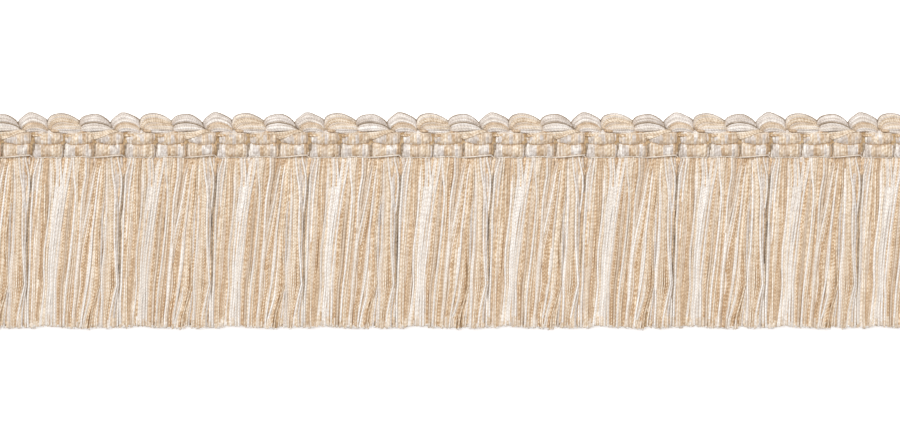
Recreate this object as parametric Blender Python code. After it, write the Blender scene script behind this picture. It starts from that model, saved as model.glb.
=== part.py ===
"""A cut length of moss fringe, also called brush fringe, lying on its back on a flat surface.

Metres, +Z up. The trimming runs along X, its looped edge points to +Y and its cut yarns to -Y, and its
face looks up. The origin is the middle of the woven heading's back, where the trimming is sewn on.
"""

import math

import bmesh
import bpy
from mathutils import Vector

MM = 0.001

# The weave: one fat bundle of yarns after another, each one a head
HEAD_PITCH = 7.1 * MM
HEAD_COUNT = 31
LENGTH = HEAD_PITCH * HEAD_COUNT
CLEARANCE = 0.3 * MM

# Thickness of the woven heading at a head's crown and in the groove between two heads
HEAD_CROWN_Z = 4.2 * MM
GROOVE_Z = 1.4 * MM

# Rows of the heading from its lower edge up: two puffed bands with a waist for a thread between them
HEADING_ROWS = (
    # height (mm), share of the full relief
    {"y": -2.55, "relief": 0.74},
    {"y": -1.95, "relief": 0.97},
    {"y": -0.35, "relief": 1.00},
    {"y": 0.46, "relief": 0.79},
    {"y": 1.05, "relief": 0.96},
    {"y": 1.95, "relief": 0.95},
    {"y": 2.55, "relief": 0.72},
)
HEADING_LOW_Y = HEADING_ROWS[0]["y"] * MM
HEAD_COLUMNS = (-1.0, -0.86, -0.45, 0.0, 0.45, 0.86)

# One loop of the edge, seen against the groove between the two heads that it joins
LOOP_ROW_Y = 5.2 * MM
LOOP_STATIONS = (
    # along and up from the loop's middle, off the surface, and the bundle's radius there (mm)
    {"x": -4.30, "y": -1.45, "z": 1.75, "radius": 0.80},
    {"x": -3.30, "y": -0.68, "z": 1.95, "radius": 1.55},
    {"x": -1.80, "y": -0.05, "z": 2.25, "radius": 2.15},
    {"x": 0.00, "y": 0.00, "z": 2.35, "radius": 2.30},
    {"x": 1.70, "y": -0.30, "z": 2.55, "radius": 2.05},
    {"x": 3.20, "y": -0.75, "z": 2.75, "radius": 1.50},
    {"x": 4.20, "y": -1.25, "z": 2.95, "radius": 0.75},
)
END_LOOP_SCALE = 0.5
LOOP_SIDES_RESOLUTION = 2

# Thin binding threads that hold the bundles, lying in the waists of the heading
THREAD_RADIUS = 0.2 * MM
THREAD_ROWS = {
    # height of the thread, and of its centre over a head and over a groove (mm)
    "binding_thread_upper": {"y": 2.62, "over_head": 3.75, "over_groove": 2.80},
    "binding_thread_middle": {"y": 0.46, "over_head": 3.95, "over_groove": 2.95},
    "binding_thread_lower": {"y": -2.70, "over_head": 3.75, "over_groove": 3.00},
}
THREAD_SHOULDER = 0.55

# The brush: locks of yarn hanging from a narrow strip under the heading
STRIP_Y = HEADING_LOW_Y - CLEARANCE
STRIP_WIDTH = 0.8 * MM
STRIP_THICKNESS = 2.4 * MM
LOCKS_ACROSS_HEAD = 5
LOCK_GAP = 0.18 * MM
BACK_LOW_Z = 0.0
BACK_HIGH_Z = 1.35 * MM
FRONT_LOW_Z = 1.62 * MM
BRUSH_STATIONS = {
    # length from the heading down to the station, and the front locks' height off the surface (mm)
    "neck": {"hang": 4.2, "top": 3.05},
    "shoulder": {"hang": 12.2, "top": 2.90},
    "middle": {"hang": 24.2, "top": 2.75},
    "tip": {"hang": 39.5, "top": 2.65},
}
FRONT_STATIONS = ("neck", "shoulder", "middle", "tip")
BACK_STATIONS = ("shoulder", "tip")
LOCK_CROWN = (0.0, 0.22 * MM, 0.34 * MM, 0.26 * MM, 0.05 * MM)

# How far the left edge of each head's brush leans from its place in the heading (mm). Three heads in
# turn make the pattern, and the middle one is squeezed by its neighbours.
BRUSH_LEAN = (
    {"neck": -0.40, "shoulder": -1.45, "middle": -2.60, "tip": -3.20},
    {"neck": -0.15, "shoulder": -0.45, "middle": -0.75, "tip": -0.90},
    {"neck": -0.45, "shoulder": -1.60, "middle": -2.90, "tip": -3.50},
)
FIRST_HEAD_IN_PATTERN = 2
TIP_WAVE = 0.4 * MM

MATERIALS = {
    # sRGB colours of the yarns, roughness of matt and of slightly shiny thread
    "brush_yarn": {"colour": (0.88, 0.79, 0.69), "roughness": 0.75},
    "heading_yarn": {"colour": (0.86, 0.79, 0.68), "roughness": 0.75},
    "loop_yarn": {"colour": (0.90, 0.84, 0.76), "roughness": 0.72},
    "binding_thread": {"colour": (0.78, 0.68, 0.52), "roughness": 0.6},
}


def clear_scene():
    for scene_object in list(bpy.data.objects):
        bpy.data.objects.remove(scene_object)


def make_collection(name):
    collection = bpy.data.collections.new(name)
    bpy.context.scene.collection.children.link(collection)
    return collection


def make_material(name):
    material = bpy.data.materials.new(name)
    material.use_nodes = True
    shader = material.node_tree.nodes["Principled BSDF"]
    linear = [channel**2.2 for channel in MATERIALS[name]["colour"]]
    shader.inputs["Base Color"].default_value = (*linear, 1.0)
    shader.inputs["Roughness"].default_value = MATERIALS[name]["roughness"]
    shader.inputs["Metallic"].default_value = 0.0
    return material


def add_object(name, data, location, collection):
    new_object = bpy.data.objects.new(name, data)
    new_object.location = location
    collection.objects.link(new_object)
    return new_object


def mesh_from(name, shape, smooth_under_degrees=0):
    """A mesh of the bmesh, its faces turned outwards, smooth over edges less sharp than an angle."""
    bmesh.ops.recalc_face_normals(shape, faces=shape.faces)
    mesh = bpy.data.meshes.new(name)
    shape.to_mesh(mesh)
    shape.free()
    if smooth_under_degrees:
        mesh.shade_smooth()
        mesh.set_sharp_from_angle(angle=math.radians(smooth_under_degrees))
    return mesh


def head_centre_x(head):
    return (head - (HEAD_COUNT - 1) / 2) * HEAD_PITCH


def head_crown(across):
    """Share of a head's height at -1 to 1 across it: full in the middle, with round shoulders."""
    return (1 - abs(across) ** 3) ** (1 / 3)


def make_heading(collection):
    """The woven band: two rows of puffed heads over a flat back, with a groove between each two heads."""
    columns = []
    for head in range(HEAD_COUNT):
        for across in HEAD_COLUMNS:
            columns.append((head_centre_x(head) + across * HEAD_PITCH / 2, head_crown(across)))
    columns.append((LENGTH / 2, head_crown(1.0)))

    shape = bmesh.new()
    grid = bmesh.ops.create_grid(
        shape, x_segments=len(columns) - 1, y_segments=len(HEADING_ROWS) - 1, size=1.0
    )
    for vertex in grid["verts"]:
        x, crown = columns[round((vertex.co.x + 1) / 2 * (len(columns) - 1))]
        row = HEADING_ROWS[round((vertex.co.y + 1) / 2 * (len(HEADING_ROWS) - 1))]
        relief = (GROOVE_Z + (HEAD_CROWN_Z - GROOVE_Z) * crown) * row["relief"]
        vertex.co = Vector((x, row["y"] * MM, relief))
    back = bmesh.ops.extrude_face_region(shape, geom=shape.faces[:])
    for element in back["geom"]:
        if isinstance(element, bmesh.types.BMVert):
            element.co.z = 0.0
    heading = add_object("heading", mesh_from("heading", shape, 50), (0, 0, 0), collection)
    heading.data.materials.append(make_material("heading_yarn"))


def poly_curve(name, points, radii, bevel_depth, resolution):
    """A curve of straight steps with filled ends, as thick at each point as its radius says."""
    curve = bpy.data.curves.new(name, "CURVE")
    curve.dimensions = "3D"
    curve.bevel_depth = bevel_depth
    curve.bevel_resolution = resolution
    curve.use_fill_caps = True
    spline = curve.splines.new("POLY")
    spline.points.add(len(points) - 1)
    for spline_point, place, radius in zip(spline.points, points, radii):
        spline_point.co = (*place, 1.0)
        spline_point.radius = radius / bevel_depth
    return curve


def loop_mesh(centre_x, scale_x):
    """One loop: a bundle bent over from one head to the next, fat in its middle and slim at its feet."""
    points = []
    radii = []
    for row in LOOP_STATIONS:
        points.append((centre_x + row["x"] * scale_x * MM, row["y"] * MM, row["z"] * MM))
        radii.append(row["radius"] * MM)
    curve = poly_curve("loop_guide", points, radii, max(radii), LOOP_SIDES_RESOLUTION)
    guide = add_object("loop_guide", curve, (0, 0, 0), bpy.context.scene.collection)
    bpy.context.view_layer.update()
    evaluated = guide.evaluated_get(bpy.context.evaluated_depsgraph_get())
    mesh = bpy.data.meshes.new_from_object(evaluated)
    mesh.transform(guide.matrix_world)
    bpy.data.objects.remove(guide)
    return mesh


def join_loops(name, places):
    """Loops that stay clear of each other, as one mesh of several closed shells."""
    shape = bmesh.new()
    for centre_x, scale_x in places:
        mesh = loop_mesh(centre_x, scale_x)
        shape.from_mesh(mesh)
        bpy.data.meshes.remove(mesh)
    bmesh.ops.remove_doubles(shape, verts=shape.verts, dist=0.001 * MM)
    return mesh_from(name, shape, 60)


def make_loop_edge(collection, cutters):
    """The turns of the bundles along the upper edge, each loop running into the next one."""
    end_offset = HEAD_PITCH * END_LOOP_SCALE / 2
    places = [(head_centre_x(0) - end_offset, END_LOOP_SCALE)]
    for head in range(HEAD_COUNT - 1):
        places.append((head_centre_x(head) + HEAD_PITCH / 2, 1.0))
    places.append((head_centre_x(HEAD_COUNT - 1) + end_offset, END_LOOP_SCALE))

    location = (0, LOOP_ROW_Y, 0)
    edge = add_object("loop_edge", join_loops("loop_edge", places[::2]), location, collection)
    edge.data.materials.append(make_material("loop_yarn"))
    between = join_loops("loops_between", places[1::2])
    others = add_object("loops_between", between, location, cutters)
    others.hide_render = True
    others.display_type = "WIRE"
    union = edge.modifiers.new("join_loops", "BOOLEAN")
    union.operation = "UNION"
    union.solver = "EXACT"
    union.object = others


def make_binding_thread(name, row, collection):
    """A thin thread that passes over each head and dips a little at each groove."""
    groove = row["over_groove"] * MM
    points = [(-LENGTH / 2, 0, groove)]
    for head in range(HEAD_COUNT):
        for across in (-THREAD_SHOULDER, THREAD_SHOULDER):
            points.append((head_centre_x(head) + across * HEAD_PITCH / 2, 0, row["over_head"] * MM))
        points.append((head_centre_x(head) + HEAD_PITCH / 2, 0, groove))
    curve = poly_curve(name, points, [THREAD_RADIUS] * len(points), THREAD_RADIUS, 0)
    curve.materials.append(make_material("binding_thread"))
    add_object(name, curve, (0, row["y"] * MM, 0), collection)


def brush_edge_x(head, station):
    """Where the left edge of a head's brush is, at a height of the brush."""
    lean = BRUSH_LEAN[(head + FIRST_HEAD_IN_PATTERN) % len(BRUSH_LEAN)][station] * MM
    return head_centre_x(head) - HEAD_PITCH / 2 + lean


def lock_section(column, is_front, station):
    """The left, right, low and high side of a lock at a station, and how far down that is."""
    head, place = divmod(column, LOCKS_ACROSS_HEAD)
    left_edge = brush_edge_x(head, station)
    width = (brush_edge_x(head + 1, station) - left_edge) / LOCKS_ACROSS_HEAD
    left = left_edge + place * width + LOCK_GAP / 2
    right = left + width - LOCK_GAP
    y = -BRUSH_STATIONS[station]["hang"] * MM
    if station == "tip":
        y += TIP_WAVE * math.sin(1.9 * column) * math.cos(0.37 * column)
    if is_front:
        top = BRUSH_STATIONS[station]["top"] * MM + LOCK_CROWN[place]
        return left, right, FRONT_LOW_Z, top, y
    return left, right, BACK_LOW_Z, BACK_HIGH_Z, y


def move_to_section(face, section):
    """Moves the four corners of a lock's end face to a section further down."""
    left, right, low, high, y = section
    centre = face.calc_center_median()
    for vertex in face.verts:
        vertex.co = Vector(
            (
                left if vertex.co.x < centre.x else right,
                y,
                low if vertex.co.z < centre.z else high,
            )
        )


def draw_out_locks(shape, roots, is_front):
    """Draws one row of locks down out of its root faces, one stretch after another."""
    ends = roots
    for station in FRONT_STATIONS if is_front else BACK_STATIONS:
        order = sorted(ends)
        drawn = bmesh.ops.extrude_discrete_faces(shape, faces=[ends[column] for column in order])
        from_left = sorted(drawn["faces"], key=lambda face: face.calc_center_median().x)
        ends = dict(zip(order, from_left))
        for column, face in ends.items():
            move_to_section(face, lock_section(column, is_front, station))


def make_brush(collection):
    """The cut yarns: square locks in two rows, drawn out of the underside of one narrow strip."""
    columns = HEAD_COUNT * LOCKS_ACROSS_HEAD
    shape = bmesh.new()
    grid = bmesh.ops.create_grid(shape, x_segments=columns, y_segments=2, size=1.0)
    for vertex in grid["verts"]:
        along = vertex.co.x * LENGTH / 2
        height = (vertex.co.y + 1) / 2 * STRIP_THICKNESS
        vertex.co = Vector((along, -STRIP_WIDTH, height))
    underside = shape.faces[:]
    upper = bmesh.ops.extrude_face_region(shape, geom=underside, use_keep_orig=True)
    for element in upper["geom"]:
        if isinstance(element, bmesh.types.BMVert):
            element.co.y = 0.0

    front_roots = {}
    back_roots = {}
    for face in underside:
        centre = face.calc_center_median()
        column = int((centre.x + LENGTH / 2) / LENGTH * columns)
        if centre.z > STRIP_THICKNESS / 2:
            front_roots[column] = face
        elif column % LOCKS_ACROSS_HEAD < LOCKS_ACROSS_HEAD - 1:
            back_roots[column] = face
    draw_out_locks(shape, front_roots, True)
    draw_out_locks(shape, back_roots, False)
    brush = add_object("brush_skirt", mesh_from("brush_skirt", shape), (0, STRIP_Y, 0), collection)
    brush.data.materials.append(make_material("brush_yarn"))


clear_scene()
fringe = make_collection("moss_fringe")
join_helpers = make_collection("join_helpers")
make_heading(fringe)
make_loop_edge(fringe, join_helpers)
for thread_name, thread_row in THREAD_ROWS.items():
    make_binding_thread(thread_name, thread_row, fringe)
make_brush(fringe)
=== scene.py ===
import math

import bpy
import numpy as np
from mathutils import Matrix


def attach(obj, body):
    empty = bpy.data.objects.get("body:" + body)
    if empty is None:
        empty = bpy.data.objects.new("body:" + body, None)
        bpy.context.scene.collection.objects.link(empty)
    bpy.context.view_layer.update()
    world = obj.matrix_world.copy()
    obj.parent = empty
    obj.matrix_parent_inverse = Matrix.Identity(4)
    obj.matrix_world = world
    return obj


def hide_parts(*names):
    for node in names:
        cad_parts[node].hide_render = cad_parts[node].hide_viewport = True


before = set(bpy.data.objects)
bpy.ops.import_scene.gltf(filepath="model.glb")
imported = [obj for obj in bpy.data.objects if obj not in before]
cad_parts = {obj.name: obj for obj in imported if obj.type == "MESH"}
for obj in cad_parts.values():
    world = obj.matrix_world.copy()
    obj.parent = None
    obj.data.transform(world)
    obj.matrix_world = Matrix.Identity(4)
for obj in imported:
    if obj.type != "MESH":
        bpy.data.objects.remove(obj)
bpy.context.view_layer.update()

# The picture: the trimming lies face up on white paper and is seen from straight above through a
# long lens, so that both of its ends run out of the picture, which is 207.8 mm wide. All lengths
# in this script are in millimetres.
MM = 0.001
PICTURE_WIDTH = 207.8
PICTURE_MIDDLE = (0.46, -18.0)
FACE_HEIGHT = 3.0
LENS = 300
SENSOR = 36
CLIP_START = 100
CLIP_END = 10000
bpy.ops.object.select_all(action="DESELECT")
camera_height = FACE_HEIGHT + PICTURE_WIDTH * LENS / SENSOR
bpy.ops.object.camera_add(
    location=(PICTURE_MIDDLE[0] * MM, PICTURE_MIDDLE[1] * MM, camera_height * MM),
    rotation=(0, 0, 0),
)
camera = bpy.context.object
camera.name = "camera"
camera.data.lens = LENS
camera.data.sensor_width = SENSOR
camera.data.clip_start = CLIP_START * MM
camera.data.clip_end = CLIP_END * MM
bpy.context.scene.camera = camera
bpy.context.scene.view_settings.view_transform = "Standard"


# The light: one wide soft window high above and a little to the upper left, and a weak grey room.
WINDOW_ENERGY = 2.54
WINDOW_WIDTH = math.radians(40)
WINDOW_TURN = (math.radians(-16), math.radians(-8), 0)
WINDOW_COLOUR = "#FFFDFA"
ROOM_STRENGTH = 0.4
ROOM_COLOUR = "#F4F6FF"


def linear(colour):
    """The linear red, green and blue of an sRGB hex colour."""
    channels = [int(colour[i : i + 2], 16) / 255 for i in (1, 3, 5)]
    return [c / 12.92 if c <= 0.04045 else ((c + 0.055) / 1.055) ** 2.4 for c in channels]


world = bpy.data.worlds.new("grey room")
world.use_nodes = True
background = world.node_tree.nodes["Background"]
background.inputs["Color"].default_value = (*linear(ROOM_COLOUR), 1)
background.inputs["Strength"].default_value = ROOM_STRENGTH
bpy.context.scene.world = world
bpy.ops.object.light_add(type="SUN", location=(0, 0, 1), rotation=WINDOW_TURN)
window = bpy.context.object
window.name = "window"
window.data.energy = WINDOW_ENERGY
window.data.angle = WINDOW_WIDTH
window.data.color = linear(WINDOW_COLOUR)


# The paper lies just under the trimming. It is matt, and a little lit from below, as on a light
# table, so that the trimming's shadow on it stays faint.
PAPER_WIDTH = 6000
PAPER_DROP = 0.02
PAPER_GLOW = 0.45
bpy.ops.object.select_all(action="DESELECT")
bpy.ops.mesh.primitive_plane_add(size=PAPER_WIDTH * MM, location=(0, 0, -PAPER_DROP * MM))
floor = bpy.context.object
floor.name = "white_paper"
paper = bpy.data.materials.new("matt white paper")
paper.use_nodes = True
shader = paper.node_tree.nodes["Principled BSDF"]
shader.inputs["Base Color"].default_value = (*linear("#F4F4F4"), 1)
shader.inputs["Roughness"].default_value = 0.9
shader.inputs["Specular IOR Level"].default_value = 0.2
shader.inputs["Emission Color"].default_value = (1, 1, 1, 1)
shader.inputs["Emission Strength"].default_value = PAPER_GLOW
floor.data.materials.append(paper)


# The heading: the bundles of yarn, side by side, each held flat as a head between three rows of
# binding thread. Its yarns run up the face and puff out between the threads. The back is flat.
HEAD_PITCH = 7.1
HEAD_COUNT = 31
LEFT_END = -HEAD_COUNT * HEAD_PITCH / 2
RIGHT_END = -LEFT_END
# The chart repeats every three heads. The first repeat starts two heads before the left end.
HEADS_IN_REPEAT = 3
HEADS_CUT_OFF = 2
REPEAT = HEADS_IN_REPEAT * HEAD_PITCH
FIRST_REPEAT = LEFT_END - HEADS_CUT_OFF * HEAD_PITCH
REPEAT_COUNT = math.ceil((HEAD_COUNT + HEADS_CUT_OFF) / HEADS_IN_REPEAT)

# A yarn is twisted from two plies. Their crests make a row of beads, slanted but nearly upright
# where they face up, and slubs, nine in a centimetre, make them uneven. Each yarn has beads of its
# own length, which don't line up with the next yarn's.
YARN_SIDES = 6
YARN_FLATNESS = 0.95
YARN_UNEVENNESS = 0.12
BEAD_LENGTH = 1.0
BEAD_LENGTH_RANGE = (0.75, 1.3)
BEAD_SHIFT = 7
BEAD_UPRIGHT = 0.7
SLUB_LENGTH = 10 / 9
# The middle of a yarn lies this far inside the outside of its bundle.
YARN_INSET = 0.25
# This far round a yarn is its upper side, whose colour its cut ends take.
UPPER_SIDE = 0.25
TONES = {
    # the colours of each yarn in the groove between its plies, on their flanks and on their crests,
    # partly the plies' own marl and partly painted shade in the groove and painted highlight on the
    # crests; the painted shade of its sides, where it lies against the next one; how far the crests
    # stand up, and the yarn's radius
    "W": {"name": "white rayon yarn", "dye": ("#E4DCD4", "#F5EFE8", "#FFFCF7"),
          "sides": "#E9E1D7", "relief": 0.015, "radius": 0.31},
    "G": {"name": "silver grey rayon yarn", "dye": ("#CEC4BB", "#DDD4CC", "#ECE5DF"),
          "sides": "#CDC2B6", "relief": 0.015, "radius": 0.31},
    "L": {"name": "plain cream yarn", "dye": ("#E0D3C3", "#ECE0D2", "#F6EDE1"),
          "sides": "#D8C5AE", "relief": 0.012, "radius": 0.38},
    "P": {"name": "plain beige yarn", "dye": ("#D2BFA9", "#DDCBB6", "#E8D9C8"),
          "sides": "#C9B298", "relief": 0.012, "radius": 0.38},
    "N": {"name": "plain tan yarn", "dye": ("#C4A98A", "#D4B998", "#E3CBAD"),
          "sides": "#BA9B7B", "relief": 0.012, "radius": 0.32},
    # O is a darker yarn that also stands for painted shade: in the grooves between heads, at the
    # heads' right sides, along the waist and in the slots of the brush.
    "O": {"name": "olive tan yarn and painted shade", "dye": ("#A88A63", "#B99C73", "#C9AE87"),
          "sides": "#987B5C", "relief": 0.015, "radius": 0.30},
    # R is a dark yarn put where there is only shade: painted shade along the loops' rims, in the
    # grooves between heads and in the slots of the brush.
    "R": {"name": "brown grey yarn of painted shade", "dye": ("#8D7A65", "#A08E79", "#B6A590"),
          "sides": "#7E6B56", "relief": 0.015, "radius": 0.28},
    "C": {"name": "cream marl yarn", "dye": ("#DECBB0", "#EEE1CD", "#FEF3E3"),
          "sides": "#D8BFA2", "relief": 0.025, "radius": 0.29},
    "B": {"name": "beige marl yarn", "dye": ("#CEB79B", "#E2CFB6", "#F8E9D3"),
          "sides": "#C6A987", "relief": 0.025, "radius": 0.29},
    "T": {"name": "tan marl yarn", "dye": ("#C5A580", "#DEC29E", "#FCEACF"),
          "sides": "#BC9771", "relief": 0.03, "radius": 0.29},
}
SHADED_DYE = "#E4DCD2"


def add_node(tree, kind, settings=(), **links):
    """A node with its settings, and its inputs by name or number: a socket to link, or a value."""
    node = tree.nodes.new(kind)
    for name, value in dict(settings).items():
        setattr(node, name, value)
    for name, value in links.items():
        place = int(name[1:]) if name[1:].isdigit() else name.replace("_", " ")
        socket = node.inputs[place]
        if isinstance(value, bpy.types.NodeSocket):
            tree.links.new(value, socket)
        else:
            socket.default_value = value
    return node


def yarn_material(name, dye, sides, relief):
    """Spun and dyed yarn: soft gloss, light crests and deeper grooves from the plies' marl with
    painted highlight and shade, painted shade on its sides, and a fine relief.
    """
    material = bpy.data.materials.new(name)
    material.use_nodes = True
    tree = material.node_tree
    shader = tree.nodes["Principled BSDF"]
    shader.inputs["Roughness"].default_value = 0.55
    shader.inputs["IOR"].default_value = 1.47
    # The plies' crests are beads, which wind round and along the yarn.
    place = add_node(tree, "ShaderNodeUVMap", {"uv_map": "round_and_along"})
    turn = add_node(tree, "ShaderNodeSeparateXYZ", Vector=place.outputs["UV"])
    twist = add_node(
        tree, "ShaderNodeMath", {"operation": "ADD"}, _0=turn.outputs["X"], _1=turn.outputs["Y"]
    )
    round_twice = add_node(
        tree, "ShaderNodeMath", {"operation": "MULTIPLY"}, _0=turn.outputs["X"], _1=4 * math.pi
    )
    wave = add_node(tree, "ShaderNodeMath", {"operation": "SINE"}, _0=round_twice.outputs[0])
    steep = add_node(
        tree, "ShaderNodeMath", {"operation": "MULTIPLY_ADD"},
        _0=wave.outputs[0], _1=BEAD_UPRIGHT / (4 * math.pi), _2=twist.outputs[0],
    )
    bead = add_node(tree, "ShaderNodeMath", {"operation": "PINGPONG"}, _0=steep.outputs[0], _1=0.5)
    # Slubs make some beads fuller than others.
    whole = add_node(tree, "ShaderNodeTexCoord")
    slubs = add_node(
        tree, "ShaderNodeTexNoise",
        Vector=whole.outputs["Object"], Scale=1 / (SLUB_LENGTH * MM), Detail=1.0, Roughness=0.5,
    )
    uneven = add_node(
        tree, "ShaderNodeMapRange",
        Value=slubs.outputs["Fac"], From_Min=0.3, From_Max=0.7, To_Min=-0.22, To_Max=0.22,
    )
    crest = add_node(
        tree, "ShaderNodeMath", {"operation": "ADD"},
        _0=bead.outputs[0], _1=uneven.outputs["Result"],
    )
    # The colour is deepest in the groove between two crests and lightest on them: the plies' marl,
    # with painted shade in the groove and painted highlight on the crests.
    ramp = add_node(tree, "ShaderNodeValToRGB", Fac=crest.outputs[0])
    stops = ramp.color_ramp.elements
    stops[0].position, stops[0].color = 0.0, (*linear(dye[0]), 1)
    stops[1].position, stops[1].color = 0.5, (*linear(dye[2]), 1)
    flank = stops.new(0.22)
    flank.color = (*linear(dye[1]), 1)
    # Each yarn has a shade of its own, which in the brush also carries a painted shadow right under
    # the heads.
    own = add_node(tree, "ShaderNodeAttribute", {"attribute_name": "yarn_shade"})
    shade = add_node(
        tree, "ShaderNodeMix", {"data_type": "RGBA"},
        _0=own.outputs["Fac"], _6=(*linear(SHADED_DYE), 1), _7=(1, 1, 1, 1),
    )
    toned = add_node(
        tree, "ShaderNodeMix", {"data_type": "RGBA", "blend_type": "MULTIPLY"},
        _0=1.0, _6=ramp.outputs["Color"], _7=shade.outputs[2],
    )
    # Away from its upper side the colour is deeper: painted shade where the yarns lie against each
    # other, as strong as the side shade amount says.
    round_once = add_node(
        tree, "ShaderNodeMath", {"operation": "MULTIPLY"}, _0=turn.outputs["X"], _1=2 * math.pi
    )
    facing = add_node(tree, "ShaderNodeMath", {"operation": "SINE"}, _0=round_once.outputs[0])
    turned = add_node(
        tree, "ShaderNodeMapRange", {"interpolation_type": "SMOOTHSTEP"},
        Value=facing.outputs[0], From_Min=0.75, From_Max=1.0, To_Min=1.0, To_Max=0.0,
    )
    side_shade_amount = add_node(tree, "ShaderNodeAttribute", {"attribute_name": "yarn_side_shade_amount"})
    side_shade_mask = add_node(
        tree, "ShaderNodeMath", {"operation": "MULTIPLY"},
        _0=turned.outputs["Result"], _1=side_shade_amount.outputs["Fac"],
    )
    side_shaded = add_node(
        tree, "ShaderNodeMix", {"data_type": "RGBA"},
        _0=side_shade_mask.outputs[0], _6=toned.outputs[2], _7=(*linear(sides), 1),
    )
    tree.links.new(side_shaded.outputs[2], shader.inputs["Base Color"])
    # The crests stand up a little.
    rounded = add_node(
        tree, "ShaderNodeMapRange", {"interpolation_type": "SMOOTHERSTEP"},
        Value=bead.outputs[0], From_Min=0.0, From_Max=0.4,
    )
    bump = add_node(
        tree, "ShaderNodeBump", Strength=1.0, Distance=relief * MM, Height=rounded.outputs["Result"]
    )
    tree.links.new(bump.outputs["Normal"], shader.inputs["Normal"])
    return material


yarn_materials = [
    yarn_material(tone["name"], tone["dye"], tone["sides"], tone["relief"])
    for tone in TONES.values()
]

# No yarn lies quite straight or is of one shade: each drifts by chance, in slow waves with so many
# turns from end to end.
chance = np.random.default_rng(31)
DRIFT_TURNS = (0.8, 1.7, 3.1)
DRIFT_REACH = 0.8
WAVE_REACH = (0.3, 1.0)
SHADE_RANGE = (0.3, 0.95)


def drift(yarns, steps, size):
    """Slow wandering along each yarn, from minus to plus about this size."""
    along = np.linspace(0, 1, steps)
    waves = np.zeros((yarns, steps))
    for turns in DRIFT_TURNS:
        start = chance.uniform(0, 2 * np.pi, (yarns, 1))
        reach = chance.uniform(*WAVE_REACH, (yarns, 1)) / turns
        waves += reach * np.sin(2 * np.pi * turns * along + start)
    return waves * size * DRIFT_REACH


def yarn_shades(yarns, steps, patchy=0.3):
    """How light each yarn is along its length, from 0 to 1."""
    return np.clip(chance.uniform(*SHADE_RANGE, (yarns, 1)) + drift(yarns, steps, patchy), 0, 1)


def smooth_line(places, values, at):
    """Values between those of a short table, read off a smooth line through them."""
    places = np.asarray(places, float)
    values = np.asarray(values, float)
    if places[0] > places[-1]:
        places, values = places[::-1], values[::-1]
    slope = np.gradient(values, places)
    step = np.clip(np.searchsorted(places, at) - 1, 0, len(places) - 2)
    width = places[step + 1] - places[step]
    part = np.clip((at - places[step]) / width, 0, 1)
    return (
        (2 * part**3 - 3 * part**2 + 1) * values[step]
        + (part**3 - 2 * part**2 + part) * width * slope[step]
        + (3 * part**2 - 2 * part**3) * values[step + 1]
        + (part**3 - part**2) * width * slope[step + 1]
    )


def yarn_rings(paths, radius):
    """The corners of the yarns: a ring round each step of each path."""
    along = np.gradient(paths, axis=1)
    along /= np.linalg.norm(along, axis=2, keepdims=True)
    side = np.cross(along, (0, 0, 1))
    side /= np.linalg.norm(side, axis=2, keepdims=True)
    up = np.cross(side, along)
    turn = np.arange(YARN_SIDES) / YARN_SIDES * 2 * np.pi
    sideways = np.cos(turn)[:, None] * side[:, :, None]
    upwards = YARN_FLATNESS * np.sin(turn)[:, None] * up[:, :, None]
    return (paths[:, :, None] + radius[:, :, None, None] * (sideways + upwards)).reshape(-1, 3)


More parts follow.
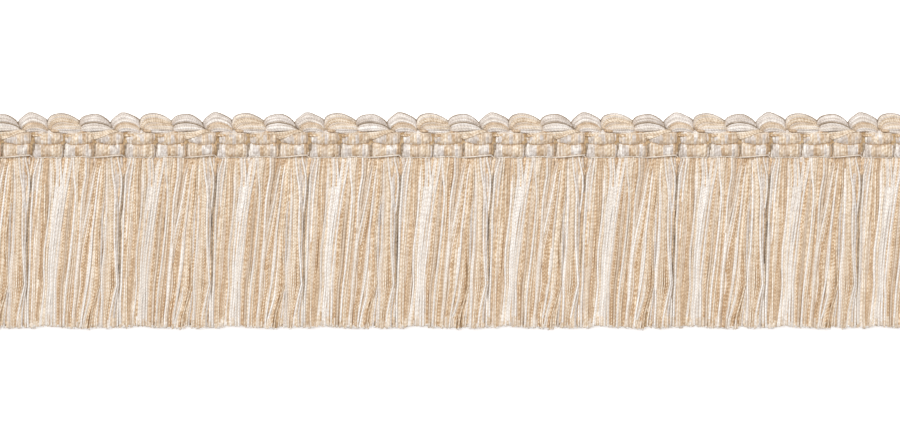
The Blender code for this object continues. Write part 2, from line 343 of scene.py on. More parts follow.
def add_yarns(name, paths, tones, shades, thick=1.0, bead=BEAD_LENGTH, tip=1.0, side_shade_amount=0.3):
    """One mesh of yarns round paths. Its UV map is the turn round and the beads along them.

    Each yarn has one tone, or one for each stretch between two steps, where other yarns lie over
    it. The tip is how wide its cut end is. The side shade amount, as one value or one for each
    step, is how much painted shade the sides of the yarns take where they lie against each other.
    """
    count, steps = paths.shape[:2]
    radius = thick * np.array([TONES[tone[0]]["radius"] for tone in tones])[:, None]
    radius = radius * (1 + drift(count, steps, YARN_UNEVENNESS))
    radius[:, -1] *= tip
    corners = yarn_rings(paths, radius)
    yarn, step, edge = np.meshgrid(
        np.arange(count), np.arange(steps - 1), np.arange(YARN_SIDES), indexing="ij"
    )
    near = (yarn * steps + step) * YARN_SIDES
    far = near + YARN_SIDES
    next_edge = (edge + 1) % YARN_SIDES
    walls = np.stack((near + edge, far + edge, far + next_edge, near + next_edge), axis=-1)
    walls = walls.reshape(-1, 4)
    roots = np.arange(count)[:, None] * steps * YARN_SIDES + np.arange(YARN_SIDES)
    caps = np.concatenate((roots, (roots + (steps - 1) * YARN_SIDES)[:, ::-1]))
    mesh = bpy.data.meshes.new(name)
    mesh.from_pydata((corners * MM).tolist(), [], walls.tolist() + caps.tolist())
    rounded = np.concatenate((np.ones(len(walls), bool), np.zeros(len(caps), bool)))
    mesh.polygons.foreach_set("use_smooth", rounded)

    length = np.linalg.norm(np.diff(paths, axis=1), axis=2)
    beads = np.concatenate((np.zeros((count, 1)), np.cumsum(length, axis=1)), axis=1) / bead
    beads = beads * chance.uniform(*BEAD_LENGTH_RANGE, (count, 1)) + shades[:, :1] * BEAD_SHIFT
    u = np.stack((edge, edge, edge + 1, edge + 1), axis=-1) / YARN_SIDES
    v = np.stack([beads[yarn, step + ahead] for ahead in (0, 1, 1, 0)], axis=-1)
    wall_uv = np.stack((u, v), axis=-1).reshape(-1, 2)
    cap_v = np.concatenate((beads[:, 0], beads[:, -1])).repeat(YARN_SIDES)
    cap_uv = np.stack((np.full(len(cap_v), UPPER_SIDE), cap_v), axis=-1)
    layer = mesh.uv_layers.new(name="round_and_along")
    layer.data.foreach_set("uv", np.concatenate((wall_uv, cap_uv)).ravel())
    for attribute, values in (("yarn_shade", shades), ("yarn_side_shade_amount", side_shade_amount)):
        at_corners = np.broadcast_to(values, (count, steps)).ravel().repeat(YARN_SIDES)
        mesh.attributes.new(attribute, "FLOAT", "POINT").data.foreach_set("value", at_corners)

    for material in yarn_materials:
        mesh.materials.append(material)
    order = list(TONES)
    stretches = [tone * (steps - 1) if len(tone) == 1 else tone for tone in tones]
    numbers = np.array([[order.index(tone) for tone in stretch] for stretch in stretches])
    of_walls = numbers.ravel().repeat(YARN_SIDES)
    of_all = np.concatenate((of_walls, numbers[:, 0], numbers[:, -1]))
    mesh.polygons.foreach_set("material_index", of_all)
    mesh.update()
    piece = bpy.data.objects.new(name, mesh)
    bpy.context.scene.collection.objects.link(piece)
    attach(piece, "root")
    return piece


HEAD_BANDS = {
    # rows of each band, from its lower edge to its upper one. "y": how far above the thread that
    # "from" names (see HEAD_LINES). "top": how high the head's middle lies. "half": half its width.
    "lower": (
        {"from": "foot", "y": -0.40, "top": 2.55, "half": 3.05},
        {"from": "foot", "y": 0.10, "top": 3.10, "half": 3.15},
        {"from": "foot", "y": 0.38, "top": 3.70, "half": 3.32},
        {"from": "foot", "y": 1.20, "top": 4.05, "half": 3.42},
        {"from": "waist", "y": -0.75, "top": 3.95, "half": 3.42},
        {"from": "waist", "y": -0.28, "top": 3.60, "half": 3.35},
        {"from": "waist", "y": -0.10, "top": 2.60, "half": 3.20},
    ),
    "upper": (
        {"from": "waist", "y": 0.10, "top": 2.60, "half": 3.20},
        {"from": "waist", "y": 0.28, "top": 3.60, "half": 3.35},
        {"from": "waist", "y": 0.75, "top": 3.95, "half": 3.42},
        {"from": "waist", "y": 1.35, "top": 4.05, "half": 3.42},
        {"from": "top", "y": -0.45, "top": 3.90, "half": 3.36},
        {"from": "top", "y": 0.10, "top": 3.50, "half": 3.25},
        {"from": "top", "y": 0.70, "top": 2.70, "half": 3.10},
    ),
}
HEAD_LINES = {
    # where the threads cross the three heads of the repeat, at five places from side to side
    "top": ((2.70, 2.70, 2.70, 2.70, 2.70),) * 3,
    "waist": (
        (0.70, 0.45, 0.10, 0.30, 0.58),
        (0.58, 0.28, 0.05, 0.30, 0.60),
        (0.67, 0.16, 0.16, 0.38, 0.75),
    ),
    "foot": (
        (-2.70, -2.62, -2.45, -2.28, -2.15),
        (-2.90, -2.75, -2.65, -2.70, -2.85),
        (-2.80, -2.60, -2.45, -2.65, -2.75),
    ),
}
HEAD_YARNS = {
    # the yarns of each head from left to right (see TONES), low, halfway and high on the band:
    # where one slips over another the colour changes in blocks. The dark O yarns at the heads'
    # right sides are painted shade, where those sides turn away from the light.
    "lower": (
        ("NCLCCBGWGNLO", "BCLLCBGWGNOO", "PLCCLBWGWNOO"),
        ("WGGWNNNLOCGL", "WWGGBPPCBCGL", "GWGWPBPCCLGP"),
        ("LWGWWTNBWLNO", "LWWGGNBPGLNO", "PLWGWCPLWNOO"),
    ),
    "upper": (
        ("PBLGGPBPLPOO", "PCGWGGBPGPOO", "CTCCPPBPLPOO"),
        ("WGGLLCPBPBGP", "GWWGBCGBCPGP", "GGLWLGWLPPGP"),
        ("LCGCCLPBBPNO", "GCLGCCGNPBNO", "PGCGCLPNPBPO"),
    ),
}
# Each yarn of a head's table stands for two, which change in tone at a step of their own. The
# second one lies a little lower, and is a tone darker if it is cream or tan.
NEXT_BELOW = {"L": "P", "C": "B", "T": "N"}
SECOND_YARN_DROP = 0.12
HEAD_YARN_COUNT = 24
HEAD_STEPS = np.array((0, 1, 1.5, 2, 2.5, 3, 3.5, 4, 4.5, 5, 5.5, 6))
FIRST_CHANGE = (2, 5)
SECOND_CHANGE = (6, 9)
HEAD_SIDE_HEIGHT = 1.3
HEAD_WANDER_ACROSS = 0.06
HEAD_WANDER_UP = 0.04
# A head's section is a rounded box, and its yarns lie evenly over it.
CROWN_POWER = 3
CROWN_RISE = 0.65
CROWN_POINTS = 801


def crown_places(count):
    """Even steps over a head's crown: across (-1 to 1) and up (0 to 1)."""
    across = np.linspace(-1, 1, CROWN_POINTS)
    up = np.maximum(1 - np.abs(across) ** CROWN_POWER, 0) ** (1 / CROWN_POWER) * CROWN_RISE
    run = np.concatenate(([0], np.cumsum(np.hypot(np.diff(across), np.diff(up)))))
    at = (np.arange(count) + 0.5) / count * run[-1]
    return np.interp(at, run, across), np.interp(at, run, up) / CROWN_RISE


def head_line(name, kind, across):
    """Where a thread crosses a head of this kind, -1 at its left side and 1 at its right."""
    line = HEAD_LINES[name][kind]
    return np.interp(across, np.linspace(-1, 1, len(line)), line)


head_middles = LEFT_END + (np.arange(HEAD_COUNT) + 0.5) * HEAD_PITCH
across, up = crown_places(HEAD_YARN_COUNT)
for band, rows in HEAD_BANDS.items():
    top = np.array([row["top"] for row in rows])
    half = np.array([row["half"] for row in rows])
    paths, tones = [], []
    for head, middle in enumerate(head_middles):
        kind = (head + HEADS_CUT_OFF) % HEADS_IN_REPEAT
        for place in range(HEAD_YARN_COUNT):
            low, halfway, high = [part[place // 2] for part in HEAD_YARNS[band][kind]]
            first, second = chance.integers(*FIRST_CHANGE), chance.integers(*SECOND_CHANGE)
            tone = low * first + halfway * (second - first) + high * (len(HEAD_STEPS) - 1 - second)
            drop = 0
            if place % 2:
                tone = "".join(NEXT_BELOW.get(part, part) for part in tone)
                drop = SECOND_YARN_DROP
            x = middle + across[place] * half
            y = [row["y"] + head_line(row["from"], kind, across[place]) for row in rows]
            z = HEAD_SIDE_HEIGHT + (top - YARN_INSET - HEAD_SIDE_HEIGHT) * up[place] - drop
            line = [smooth_line(range(len(rows)), values, HEAD_STEPS) for values in (x, y, z)]
            paths.append(np.stack(line, axis=-1))
            tones.append(tone)
    paths = np.array(paths)
    paths[:, :, 0] += drift(*paths.shape[:2], HEAD_WANDER_ACROSS)
    paths[:, :, 2] += drift(*paths.shape[:2], HEAD_WANDER_UP)
    shades = yarn_shades(*paths.shape[:2], patchy=0.6)
    piece = add_yarns(f"heads_{band}_band", paths, tones, shades, side_shade_amount=0.4)
    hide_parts("heading")

# Inside, thicker bundles of the same yarns fill each head. Two dark ones show in each groove
# between two heads, and dive under the brush at the foot: their brown grey and olive tones are
# painted shade in the groove.
FILLING_ROWS = np.array((-3.0, -2.2, -1.0, 0.4, 1.6, 2.6, 3.2))
FILLING_TOP = np.array((2.6, 3.0, 3.3, 2.9, 3.3, 3.0, 2.6))
FILLING_YARNS = "BNCBNCBNC"
FILLING_THICK = 1.4
FILLING_HALF_WIDTH = 3.1
FILLING_SIDE_HEIGHT = 1.15
FILLING_INSET = 0.4
GROOVE_SHADE_TONES = "PRROOO"
GROOVE_HEIGHT = np.interp(FILLING_ROWS, (-3.0, -2.2, -1.0, 2.6, 3.2), (1.2, 1.9, 2.55, 2.5, 2.1))
GROOVE_ASIDE = (-0.2, 0.2)
across, up = crown_places(len(FILLING_YARNS))
paths, tones = [], []
for middle in head_middles:
    for place, tone in enumerate(FILLING_YARNS):
        x = np.full(len(FILLING_ROWS), middle + across[place] * FILLING_HALF_WIDTH)
        z = FILLING_SIDE_HEIGHT + (FILLING_TOP - FILLING_INSET - FILLING_SIDE_HEIGHT) * up[place]
        paths.append(np.stack((x, FILLING_ROWS, z), axis=-1))
        tones.append(tone)
for groove in head_middles[:-1] + HEAD_PITCH / 2:
    for aside in GROOVE_ASIDE:
        x = np.full(len(FILLING_ROWS), groove + aside)
        paths.append(np.stack((x, FILLING_ROWS + aside, GROOVE_HEIGHT), axis=-1))
        tones.append(GROOVE_SHADE_TONES)
paths = np.array(paths)
shades = yarn_shades(*paths.shape[:2])
piece = add_yarns("heads_filling", paths, tones, shades, FILLING_THICK)
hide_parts("heading")

# At the back the yarns lie flat on the table, side by side.
BACK_ROWS = np.array((-2.4, -1.5, 0.0, 1.5, 2.4, 2.8))
BACK_YARNS = "WTCBWTCBC"
BACK_THICK = 1.35
BACK_HEIGHT = 0.44
paths = []
z = np.full(len(BACK_ROWS), BACK_HEIGHT)
for middle in head_middles:
    for place in range(len(BACK_YARNS)):
        aside = (place - len(BACK_YARNS) // 2) * HEAD_PITCH / len(BACK_YARNS)
        x = np.full(len(BACK_ROWS), middle + aside)
        paths.append(np.stack((x, BACK_ROWS, z), axis=-1))
paths = np.array(paths)
shades = yarn_shades(*paths.shape[:2])
piece = add_yarns(
    "heads_back", paths, BACK_YARNS * HEAD_COUNT, shades, BACK_THICK, tip=0.8
)
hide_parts("heading")


# The looped edge: above the upper thread each bundle turns over and runs down into the next head,
# in two fat crescents of the same yarns, side by side from the left foot to the right one.
CRESCENTS = (
    # outer and inner edge from the left foot to the right one (x from the first head's left side,
    # y from the middle of the heading), the height of the crescent's middle at both feet, and its
    # yarns from the outer edge to the inner one
    {
        "outer": (
            (4.24, 3.6), (3.8, 5.3), (4.1, 6.0), (5.25, 7.0), (6.26, 7.63),
            (7.56, 7.41), (8.86, 6.84), (10.1, 6.15), (10.37, 5.25), (10.66, 3.5),
        ),
        "inner": (
            (4.6, 3.6), (4.85, 4.1), (5.4, 4.45), (6.1, 4.75), (6.9, 4.9),
            (7.6, 4.9), (8.5, 4.75), (9.3, 4.5), (10.0, 4.1), (10.5, 3.4),
        ),
        "z": (2.0, 2.2),
        "yarns": "RGGWGWWPCG",
    },
    {
        "outer": (
            (4.7, 3.5), (5.3, 4.2), (6.1, 4.85), (7.2, 5.0),
            (8.3, 4.9), (9.4, 4.5), (10.6, 3.6),
        ),
        "inner": (
            (5.0, 3.0), (5.9, 3.0), (6.8, 3.1), (7.7, 3.15),
            (8.6, 3.05), (9.6, 2.85), (10.7, 2.6),
        ),
        "z": (2.7, 2.9),
        "yarns": "BCPCGWGW",
    },
    {
        "outer": (
            (10.9, 3.3), (10.45, 4.9), (10.6, 6.0), (11.2, 6.85), (12.2, 7.25),
            (13.3, 7.42), (14.6, 7.3), (15.8, 6.85), (16.8, 6.3), (17.9, 5.5),
        ),
        "inner": (
            (11.6, 3.2), (11.6, 3.8), (12.0, 4.3), (12.6, 4.6), (13.2, 4.75),
            (13.9, 4.8), (14.9, 4.8), (16.0, 4.7), (17.0, 4.65), (18.0, 4.6),
        ),
        "z": (2.2, 2.2),
        "yarns": "RGCGBCBLGC",
    },
    {
        "outer": (
            (11.5, 3.6), (12.2, 4.4), (13.2, 4.9), (14.3, 5.0),
            (15.5, 5.0), (16.7, 4.95), (17.7, 4.75), (18.4, 4.0),
        ),
        "inner": (
            (11.9, 3.1), (12.8, 3.0), (13.8, 2.85), (14.8, 2.7),
            (15.8, 2.6), (16.8, 2.5), (17.7, 2.65), (18.4, 3.2),
        ),
        "z": (2.9, 2.7),
        "yarns": "CBLCGWGW",
    },
    {
        "outer": (
            (17.8, 4.4), (17.85, 5.6), (18.5, 6.5), (19.5, 6.95), (20.6, 7.15),
            (21.7, 7.22), (22.7, 6.9), (23.7, 6.3), (24.5, 5.6), (25.2, 4.5),
        ),
        "inner": (
            (18.1, 4.3), (18.5, 4.65), (19.1, 4.85), (19.9, 5.0), (20.7, 5.1),
            (21.6, 5.15), (22.6, 5.0), (23.5, 4.85), (24.3, 4.6), (25.1, 4.2),
        ),
        "z": (2.0, 2.1),
        "yarns": "RGGWGWGLGR",
    },
    {
        "outer": (
            (18.1, 4.2), (18.8, 4.8), (19.8, 5.1), (21.0, 5.25),
            (22.3, 5.15), (23.6, 4.85), (24.7, 4.4), (25.6, 3.7),
        ),
        "inner": (
            (18.2, 3.2), (19.2, 3.15), (20.3, 3.15), (21.4, 3.2),
            (22.5, 3.25), (23.5, 3.3), (24.5, 3.35), (25.4, 3.4),
        ),
        "z": (2.9, 2.9),
        "yarns": "RWGWWWGW",
    },
)
LOOP_STEPS = 15
LOOP_YARN_INSET = 0.18
LOOP_LEAST_INSET = 0.1
LOOP_BACK_YARNS = 5
LOOP_DEPTH_RANGE = (0.15, 1.6)
LOOP_LOWEST = 0.45
# Each crescent bends down at its feet, where it goes under the thread.
FOOT_POWER = 8
FOOT_SINK = 0.7
# At both cut ends the last loop is half as wide and ends in the last head.
END_LOOP_REACH = 1.5
END_LOOP_SCALE = 0.5
END_LOOP_FOOT = 3.7
along = np.linspace(0, 1, LOOP_STEPS)
sunk_foot = FOOT_SINK * (2 * along - 1) ** FOOT_POWER
face_paths, face_tones, back_paths, back_tones = [], "", [], ""
for repeat in range(REPEAT_COUNT):
    for crescent in CRESCENTS:
        edges = []
        for edge in ("outer", "inner"):
            points = np.array(crescent[edge])
            stations = np.linspace(0, 1, len(points))
            edges.append([smooth_line(stations, values, along) for values in points.T])
        outer, inner = np.array(edges)
        outer[0] += FIRST_REPEAT + repeat * REPEAT
        inner[0] += FIRST_REPEAT + repeat * REPEAT
        off_centre = (outer[0].mean() + inner[0].mean()) / 2
        if abs(off_centre) > RIGHT_END + END_LOOP_REACH:
            continue
        if abs(off_centre) > RIGHT_END - END_LOOP_REACH:
            kept_foot = math.copysign(RIGHT_END - END_LOOP_FOOT, off_centre)
            outer[0] += (kept_foot - outer[0]) * (1 - END_LOOP_SCALE)
            inner[0] += (kept_foot - inner[0]) * (1 - END_LOOP_SCALE)
        middle, half = (outer + inner) / 2, (outer - inner) / 2
        thick = np.hypot(half[0], half[1])
        inset = np.clip((thick - LOOP_YARN_INSET) / thick, LOOP_LEAST_INSET, 1)
        deep = np.clip(thick - YARN_INSET, *LOOP_DEPTH_RANGE)
        left_foot, right_foot = crescent["z"]
        low = left_foot + (right_foot - left_foot) * along - sunk_foot
        yarns = crescent["yarns"]
        for place, tone in enumerate(yarns):
            angle = math.pi * (place + 0.5) / len(yarns)
            x, y = middle + half * inset * math.cos(angle)
            z = low + deep * math.sin(angle) - place % 2 * SECOND_YARN_DROP
            face_paths.append(np.stack((x, y, z), axis=-1))
            face_tones += tone
        # The brown grey yarn stays at the crescent's outer edge, as painted shade along its rim.
        back_yarns = yarns[0] + yarns.replace("R", "")[1:]
        for place in range(LOOP_BACK_YARNS):
            angle = math.pi * (place + 0.5) / LOOP_BACK_YARNS
            x, y = middle + half * inset * math.cos(angle)
            z = np.maximum(low - deep * math.sin(angle), LOOP_LOWEST)
            back_paths.append(np.stack((x, y, z), axis=-1))
            back_tones += back_yarns[place]
for name, paths, tones, thick in (
    ("loops_face", np.array(face_paths), face_tones, 0.72),
    ("loops_back", np.array(back_paths), back_tones, 1.3),
):
    shades = yarn_shades(*paths.shape[:2])
    piece = add_yarns(name, paths, tones, shades, thick, bead=0.6, side_shade_amount=0.15)
    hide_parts("loop_edge")

# Under the third loop of each repeat four thick yarns show, which run up to the right over the
# first head. Three short ones show in the notches beside the loops.
STRAY_YARNS = (
    # points from the left (x from the first head's left side, y from the middle of the heading),
    # the height at both ends and halfway, and the tone
    {"points": ((11.4, 3.45), (11.8, 3.40), (12.2, 3.35), (12.7, 3.35), (13.2, 3.40)),
     "z": (3.0, 3.60), "yarn": "N"},
    {"points": ((20.2, 2.80), (21.6, 2.89), (23.0, 2.98), (24.4, 3.25), (25.8, 3.50)),
     "z": (3.0, 3.75), "yarn": "C"},
    {"points": ((20.5, 2.36), (22.0, 2.45), (23.5, 2.75), (25.0, 3.22), (26.3, 3.40)),
     "z": (3.1, 3.80), "yarn": "B"},
    {"points": ((21.1, 1.55), (22.4, 1.88), (23.8, 2.40), (25.2, 3.02), (26.8, 3.30)),
     "z": (3.2, 3.85), "yarn": "B"},
    {"points": ((20.8, 1.95), (22.2, 2.15), (23.6, 2.58), (25.0, 3.10), (26.4, 3.35)),
     "z": (3.0, 3.65), "yarn": "C"},
    {"points": ((7.0, 2.30), (7.7, 2.32), (8.3, 2.30), (8.9, 2.35), (9.6, 2.50)),
     "z": (3.2, 3.75), "yarn": "T"},
    {"points": ((14.6, 2.15), (15.0, 2.20), (15.4, 2.20), (15.8, 2.25), (16.2, 2.30)),
     "z": (3.2, 3.75), "yarn": "T"},
)
STRAY_STEPS = 9
paths, tones = [], ""
along = np.linspace(0, 1, STRAY_STEPS)
for repeat in range(REPEAT_COUNT):
    for stray in STRAY_YARNS:
        points = np.array(stray["points"])
        stations = np.linspace(0, 1, len(points))
        x, y = [smooth_line(stations, values, along) for values in points.T]
        x = x + FIRST_REPEAT + repeat * REPEAT
        ends, halfway = stray["z"]
        z = ends + (halfway - ends) * np.sqrt(np.sin(np.pi * along))
        if abs(x[0]) < RIGHT_END and abs(x[-1]) < RIGHT_END:
            paths.append(np.stack((x, y, z), axis=-1))
            tones += stray["yarn"]
paths = np.array(paths)
shades = yarn_shades(*paths.shape[:2])
piece = add_yarns("loops_stray_yarns", paths, tones, shades, bead=0.7)
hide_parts("loop_edge")


# The binding threads: thin twisted cotton that the loom lays along the trimming. They hold the
# bundles at the top of the heads, in the waist and at the foot, and sink into each groove.
THREADS = (
    # "over": how high the thread lies over the three heads of the repeat
    {"node": "binding_thread_upper", "line": "top", "over": (3.62, 3.62, 3.62), "yarn": "C",
     "thick": 0.5},
    # The middle thread's olive tone is painted shade in the crevice of the waist.
    {"node": "binding_thread_middle", "line": "waist", "over": (3.25, 3.25, 3.25), "yarn": "O",
     "thick": 0.4},
    {"node": "binding_thread_lower", "line": "foot", "over": (3.75, 3.15, 3.15), "yarn": "L",
     "thick": 0.45},
)
THREAD_STEPS = 10
GROOVE_SINK = 1.5
GROOVE_POWER = 5
for thread in THREADS:
    along = np.arange(HEAD_COUNT * THREAD_STEPS + 1) / THREAD_STEPS
    heads = np.minimum(along.astype(int), HEAD_COUNT - 1)
    kinds = (heads + HEADS_CUT_OFF) % HEADS_IN_REPEAT
    across = along % 1 * 2 - 1
    x = LEFT_END + along * HEAD_PITCH
    y = np.array([head_line(thread["line"], kind, place) for kind, place in zip(kinds, across)])
    over = np.array([thread["over"][kind] for kind in kinds])
    z = over - GROOVE_SINK * np.abs(across) ** GROOVE_POWER
    paths = np.stack((x, y, z), axis=-1)[None]
    shades = yarn_shades(1, len(along))
    piece = add_yarns(
        thread["node"] + "_spun", paths, thread["yarn"], shades, thread["thick"]
    )
    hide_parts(thread["node"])


# The brush: the cut ends of the bundles' yarns, which fall in loose streams from under the lower
# thread, some on top of others, and lean to the left as they go down.
BRUSH_ROWS = (-3.2, -7.0, -11.0, -15.0, -19.0, -23.0, -27.0, -31.0, -35.0, -38.5, -42.0)
BRUSH_TOP = (3.20, 3.38, 3.40, 3.35, 3.28, 3.20, 3.12, 3.05, 3.00, 2.95, 2.90)
LEADING_YARNS = (
    # one repeat, charted. "x": the yarn's place from the first head's left side at the
    # heights in BRUSH_ROWS. "lies": how high it lies there, from 0, hidden, to 9, on top of all.
    # "before": the tones of the yarns between the one before it and this one. The small w is a
    # white yarn that comes out from under tan ones.
    # The R and O yarns, leading or between leading ones, are painted shade in the slots and
    # crossings between streams.
    {"yarn": "P", "x": (0.45, -0.6, -1.1, -2.05, -3.05, -3.75, -4.25, -4.6, -4.6, -5.0, -5.35),
     "lies": "55555444444", "before": "PNO"},
    {"yarn": "W", "x": (0.95, -0.05, -0.75, -1.55, -2.45, -3.25, -3.8, -4.15, -4.35, -4.6, -4.95),
     "lies": "24677777544", "before": "R"},
    {"yarn": "T", "x": (1.3, 0.5, 0.1, -0.6, -1.25, -2.1, -2.95, -2.75, -3.3, -3.85, -4.05),
     "lies": "55555555555", "before": "BL"},
    {"yarn": "W", "x": (1.75, 1.0, 0.5, 0.1, -0.45, -0.65, -0.95, -1.5, -2.2, -2.8, -3.2),
     "lies": "24467766765", "before": "TNNW"},
    {"yarn": "W", "x": (2.0, 1.4, 1.0, 0.65, 0.35, 0.0, -0.25, -0.7, -1.1, -2.05, -2.85),
     "lies": "11233333688", "before": "OP"},
    {"yarn": "B", "x": (2.4, 2.35, 2.2, 1.65, 1.0, 0.9, 1.0, 1.35, 0.45, -0.6, -1.2),
     "lies": "37754555766", "before": "CBTO"},
    {"yarn": "G", "x": (2.6, 2.6, 2.45, 1.9, 1.75, 1.6, 1.4, 1.45, 1.1, 0.7, 0.4),
     "lies": "33355543444", "before": "OC"},
    {"yarn": "W", "x": (3.0, 2.85, 2.85, 2.8, 2.6, 2.45, 2.0, 1.65, 1.8, 1.65, 1.5),
     "lies": "34466645888", "before": "RG"},
    {"yarn": "C", "x": (3.35, 3.5, 3.7, 3.5, 3.4, 3.4, 3.1, 2.9, 2.7, 2.4, 2.2),
     "lies": "55555555555", "before": "LP"},
    {"yarn": "B", "x": (3.6, 3.9, 4.3, 4.15, 4.05, 4.0, 3.7, 3.9, 3.4, 2.9, 2.6),
     "lies": "44455555566", "before": "C"},
    {"yarn": "W", "x": (3.9, 4.3, 4.85, 4.7, 4.6, 4.7, 4.85, 5.35, 4.5, 3.75, 3.3),
     "lies": "79977678865", "before": "TB"},
    {"yarn": "G", "x": (4.9, 4.9, 5.1, 5.4, 5.4, 5.2, 5.2, 5.65, 5.1, 4.6, 4.5),
     "lies": "44667543577", "before": "BC"},
    {"yarn": "W", "x": (5.4, 6.2, 6.15, 5.6, 5.4, 5.25, 5.2, 5.55, 5.45, 5.35, 5.3),
     "lies": "89842222355", "before": "GGO"},
    {"yarn": "G", "x": (6.2, 6.5, 6.5, 6.1, 5.8, 5.65, 5.5, 5.75, 5.6, 5.5, 5.45),
     "lies": "51000000000", "before": ""},
    {"yarn": "R", "x": (7.25, 6.8, 6.6, 6.1, 5.95, 5.88, 5.8, 5.95, 5.72, 5.62, 5.6),
     "lies": "44444444433", "before": "R"},
    {"yarn": "G", "x": (7.8, 7.0, 6.9, 6.4, 6.2, 6.1, 6.0, 6.1, 5.8, 5.7, 5.7),
     "lies": "51000000000", "before": ""},
    {"yarn": "W", "x": (8.4, 7.3, 7.1, 6.75, 6.6, 6.55, 6.35, 6.3, 5.95, 5.9, 5.9),
     "lies": "89999777788", "before": ""},
    {"yarn": "W", "x": (9.05, 8.5, 8.0, 7.75, 7.5, 7.4, 7.15, 7.0, 6.85, 6.75, 6.75),
     "lies": "89634333333", "before": "GP"},
    {"yarn": "C", "x": (9.5, 9.15, 8.9, 8.5, 8.2, 7.85, 7.5, 7.45, 7.4, 7.35, 7.35),
     "lies": "55555555555", "before": "PB"},
    {"yarn": "N", "x": (10.1, 9.65, 9.55, 9.45, 9.6, 9.3, 9.15, 8.55, 8.2, 7.85, 7.6),
     "lies": "44444444444", "before": "PPT"},
    {"yarn": "N", "x": (10.7, 10.4, 10.45, 10.3, 10.0, 9.55, 9.3, 9.0, 8.6, 8.2, 7.9),
     "lies": "55555454444", "before": "CN"},
    {"yarn": "W", "x": (11.15, 11.15, 11.1, 10.85, 10.4, 9.85, 9.6, 9.8, 9.5, 9.05, 8.65),
     "lies": "33567887544", "before": "PO"},
    {"yarn": "C", "x": (11.5, 11.85, 11.7, 11.3, 11.15, 10.5, 10.2, 10.3, 10.0, 9.7, 9.5),
     "lies": "66654555433", "before": "WC"},
    {"yarn": "W", "x": (12.6, 12.7, 12.3, 11.65, 11.5, 11.0, 10.7, 10.7, 10.4, 10.2, 10.2),
     "lies": "79976555554", "before": "wL"},
    {"yarn": "W", "x": (13.35, 13.65, 13.5, 12.8, 12.15, 11.75, 11.3, 11.2, 11.0, 10.6, 10.7),
     "lies": "79876665545", "before": "Ww"},
    {"yarn": "W", "x": (14.8, 14.2, 13.85, 13.35, 12.85, 12.25, 11.8, 11.5, 11.5, 11.35, 11.3),
     "lies": "68766654677", "before": "G"},
    {"yarn": "W", "x": (16.1, 15.5, 14.65, 14.1, 13.5, 13.05, 12.6, 12.1, 12.15, 12.05, 12.0),
     "lies": "89887777888", "before": "WwL"},
    {"yarn": "T", "x": (16.3, 15.95, 15.4, 14.8, 14.3, 13.95, 13.55, 13.1, 13.0, 12.9, 12.9),
     "lies": "44455555555", "before": "LC"},
    {"yarn": "P", "x": (16.4, 16.25, 15.9, 15.5, 15.1, 14.8, 14.5, 13.9, 13.6, 13.5, 13.4),
     "lies": "44455555555", "before": "BP"},
    {"yarn": "W", "x": (16.5, 16.6, 17.0, 16.7, 16.4, 15.95, 15.5, 14.95, 14.55, 14.35, 14.1),
     "lies": "77899999888", "before": "BNR"},
    {"yarn": "C", "x": (17.95, 17.4, 17.35, 17.3, 16.95, 16.6, 16.25, 15.75, 15.3, 15.0, 14.9),
     "lies": "88555555555", "before": "CL"},
    {"yarn": "W", "x": (19.35, 19.3, 18.55, 18.2, 18.05, 17.75, 17.4, 17.0, 16.8, 16.4, 16.2),
     "lies": "89976777666", "before": "NPTR"},
    {"yarn": "P", "x": (20.0, 19.9, 19.2, 18.8, 18.5, 18.2, 17.8, 17.4, 17.1, 16.7, 16.5),
     "lies": "55555555555", "before": "L"},
)
# The face is three pieces: all that hangs from the first, second or third head of every repeat.
FACE_GROUPS = {"first": (0, 13), "second": (13, 24), "third": (24, 33)}
FACE_ROWS = np.array((
    -2.4, -2.9, -3.5, -5.0, -7.0, -9.5, -12.5, -16.0, -20.0, -24.0, -28.0, -32.0, -35.0, -38.5,
    -40.6, -41.6, -42.0,
))
# Right under the thread the yarns come up out of the neck of their head.
NECK_FALL = np.array((0.3, 0.1, 0.02) + (0.0,) * (len(FACE_ROWS) - 3))
# Where the yarns are cut off, over one repeat, and how unevenly.
CUT_ENDS = {
    "x": (0, 2.5, 4.5, 6.2, 7.0, 8.0, 9.5, 12.5, 14.5, 16.0, 18.0, 21.3),
    "y": (-42.1, -42.15, -42.3, -42.6, -42.0, -42.1, -42.35, -42.0, -42.2, -41.8, -41.7, -42.1),
}
CUT_UNEVENNESS = (-0.2, 0.3)
TIP_LENGTH = (0.2, 0.6)
FRAYED_LENGTH = (0.9, 2.6)
# The last stretch of each yarn is frayed, and so lighter, and on every second yarn the last but
# one is too. A small w shows tan down to this stretch.
FRAYED_TIPS = "WLWC"
WHITE_FROM = 5
# The level of the chart that is even with the others, how far each step above it lifts a yarn and
# each step below it sinks one, and how much deeper the tones between leading yarns lie.
LIES_LEVEL = 5
LIES_ABOVE = 0.03
LIES_BELOW = 0.15
DEEP_YARNS = {"R": 0.4, "O": 0.36, "P": 0.16, "L": 0.13, "G": 0.15, "N": 0.18}
# Where streams cross, the yarns between them get nearer to each other than this and slip under,
# every second one deeper.
CROWDED_PITCH = 0.45
CROWDED_DROP = 0.35
CROWDED_SECOND_DROP = 0.2
# The yarns wander sideways, and up and down, from these heights on, and fully so that much lower.
LOOSE_FROM = -3
LOOSE_OVER = 12
RISE_FROM = -2.4
RISE_OVER = 6
FACE_WANDER_ACROSS = 0.06
FACE_WANDER_UP = 0.05
# A head's roundness goes on in its brush, and fades out lower down.
BRUSH_CROWN_DROP = 1.5
BRUSH_CROWN_POWER = 4
BRUSH_CROWN_END = -11
BRUSH_CROWN_FADE = 8
# Right under the heads the yarns are darker and more alike in shade, a painted shadow of the
# heads, and their sides take less painted shade than at the cut ends.
NECK_SHADE_ROWS = (-9.5, -4.0)
NECK_PAINTED_SHADOW = (1.0, 0.6)
SIDE_SHADE_ROWS = (-30.0, -5.0)
SIDE_SHADE_AMOUNT = (1.0, 0.3)
ROOT_MARGIN = 0.15


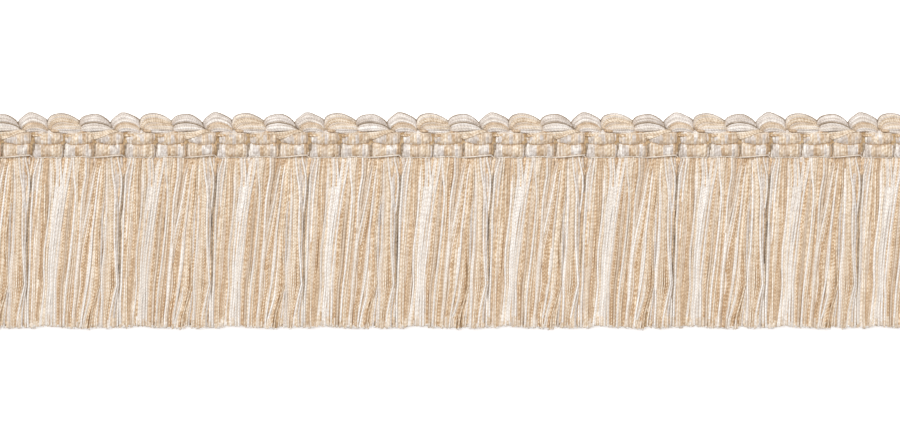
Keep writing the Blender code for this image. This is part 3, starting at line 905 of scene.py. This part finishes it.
def brush_crown(x, y):
    """How much lower the brush lies at a head's sides than in its middle, most right under it."""
    across = (x - LEFT_END) / HEAD_PITCH % 1 * 2 - 1
    fade = np.clip((y - BRUSH_CROWN_END) / BRUSH_CROWN_FADE, 0, 1)
    return BRUSH_CROWN_DROP * np.abs(across) ** BRUSH_CROWN_POWER * fade**2


def looseness(rows):
    """How freely the yarns lie at each row, from 0 at the roots to 1."""
    return np.clip((LOOSE_FROM - rows) / LOOSE_OVER, 0, 1)


def charted(yarn, name):
    """One line of the chart, smooth along the yarn."""
    return smooth_line(BRUSH_ROWS, [float(value) for value in yarn[name]], FACE_ROWS)


def add_face_yarn(paths, x, lift):
    """A yarn of the brush's face, if its root is on the trimming."""
    if abs(x[0]) > RIGHT_END - ROOT_MARGIN:
        return False
    top = smooth_line(BRUSH_ROWS, BRUSH_TOP, FACE_ROWS) - brush_crown(x[0], FACE_ROWS)
    end = np.interp((x[-1] - LEFT_END) % REPEAT, CUT_ENDS["x"], CUT_ENDS["y"])
    end += chance.uniform(*CUT_UNEVENNESS)
    y = FACE_ROWS.copy()
    y[-3:] = end + chance.uniform(*FRAYED_LENGTH), end + chance.uniform(*TIP_LENGTH), end
    paths.append(np.stack((x, y, top - YARN_INSET - NECK_FALL + lift), axis=-1))
    return True


def face_tone(tone, number):
    """The tone of each stretch of a yarn of the brush's face."""
    stretches = len(FACE_ROWS) - 1
    frayed = FRAYED_TIPS[number % len(FRAYED_TIPS)]
    fraying = frayed if number % 2 else tone.upper()
    upper = tone.replace("w", "T") * WHITE_FROM
    return upper + tone.upper() * (stretches - 2 - WHITE_FROM) + fraying + frayed


# The repeat after the last one still gives the yarns to the left of its first leading yarn.
for group, (first, last) in FACE_GROUPS.items():
    paths, tones = [], ""
    for repeat in range(REPEAT_COUNT + 1):
        start = FIRST_REPEAT + repeat * REPEAT
        for number in range(first, last):
            yarn = LEADING_YARNS[number]
            x = start + charted(yarn, "x")
            lies = charted(yarn, "lies") - LIES_LEVEL
            if add_face_yarn(paths, x, np.where(lies > 0, LIES_ABOVE, LIES_BELOW) * lies):
                tones += yarn["yarn"]
            wrap = REPEAT if number == 0 else 0
            left = start + charted(LEADING_YARNS[number - 1], "x") - wrap
            count = len(yarn["before"])
            crowd = np.clip(1 - (x - left) / (count + 1) / CROWDED_PITCH, 0, 1)
            for place, tone in enumerate(yarn["before"]):
                drop = crowd * (CROWDED_DROP + CROWDED_SECOND_DROP * (place % 2))
                lift = -drop - DEEP_YARNS.get(tone, 0.0)
                between = left + (place + 1) / (count + 1) * (x - left)
                if add_face_yarn(paths, between, lift):
                    tones += tone
    paths = np.array(paths)
    size = paths.shape[:2]
    rise = np.clip((RISE_FROM - FACE_ROWS) / RISE_OVER, 0, 1)
    paths[:, :, 0] += drift(*size, FACE_WANDER_ACROSS) * looseness(FACE_ROWS)
    paths[:, :, 2] += drift(*size, FACE_WANDER_UP) * rise
    tones = [face_tone(tone, number) for number, tone in enumerate(tones)]
    shades = yarn_shades(*size) * np.interp(FACE_ROWS, NECK_SHADE_ROWS, NECK_PAINTED_SHADOW)
    piece = add_yarns(
        f"brush_of_{group}_heads", paths, tones, shades, thick=0.84, bead=0.85,
        tip=0.65, side_shade_amount=np.interp(FACE_ROWS, SIDE_SHADE_ROWS, SIDE_SHADE_AMOUNT),
    )
    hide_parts("brush_skirt")

# Below the face the brush is nearly as thick as the heading: more of the same yarns in even layers,
# the lowest of them flat on the table.
UNDER_LAYERS = (
    {"name": "brush_under_face", "z": 2.6, "count": 430, "yarns": "NTNCNBNC", "thick": 1.25},
    {"name": "brush_upper_filling", "z": 1.87, "count": 345, "yarns": "TTBCGCBT", "thick": 1.25},
    {"name": "brush_lower_filling", "z": 1.15, "count": 300, "yarns": "TWCBTBCT", "thick": 1.25},
    {"name": "brush_back", "z": BACK_HEIGHT, "count": len(BACK_YARNS) * HEAD_COUNT,
     "yarns": BACK_YARNS, "thick": BACK_THICK},
)
UNDER_ROWS = np.array((-2.4, -3.6, -6.0, -11.3, -17.0, -23.0, -31.0, -41.4, -42.0))
UNDER_LEAN = {"y": (-2.4, -7, -15, -23, -31, -42), "x": (0, -0.4, -1.5, -2.4, -2.9, -3.6)}
UNDER_CROWN = 0.8
UNDER_WANDER_ACROSS = 0.3
UNDER_WANDER_UP = 0.1
UNDER_SHORTER = (0.2, 1.0)
for layer in UNDER_LAYERS:
    yarns, steps = layer["count"], len(UNDER_ROWS)
    roots = LEFT_END + (np.arange(yarns) + 0.5) / yarns * HEAD_COUNT * HEAD_PITCH
    lean = smooth_line(UNDER_LEAN["y"], UNDER_LEAN["x"], UNDER_ROWS)
    x = roots[:, None] + lean + drift(yarns, steps, UNDER_WANDER_ACROSS) * looseness(UNDER_ROWS)
    y = np.tile(UNDER_ROWS, (yarns, 1))
    y[:, -2:] += chance.uniform(*UNDER_SHORTER, (yarns, 1))
    z = np.full(x.shape, layer["z"])
    if layer["name"] == "brush_under_face":
        rise = smooth_line(BRUSH_ROWS, BRUSH_TOP, UNDER_ROWS) - BRUSH_TOP[0]
        z = z + rise - brush_crown(x, UNDER_ROWS) * UNDER_CROWN
    if layer["name"] != "brush_back":
        z = z + drift(yarns, steps, UNDER_WANDER_UP)
    tones = [layer["yarns"][place % len(layer["yarns"])] for place in range(yarns)]
    paths = np.stack((x, y, z), axis=-1)
    shades = yarn_shades(yarns, steps)
    piece = add_yarns(layer["name"], paths, tones, shades, layer["thick"], tip=0.7)
    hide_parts("brush_skirt")
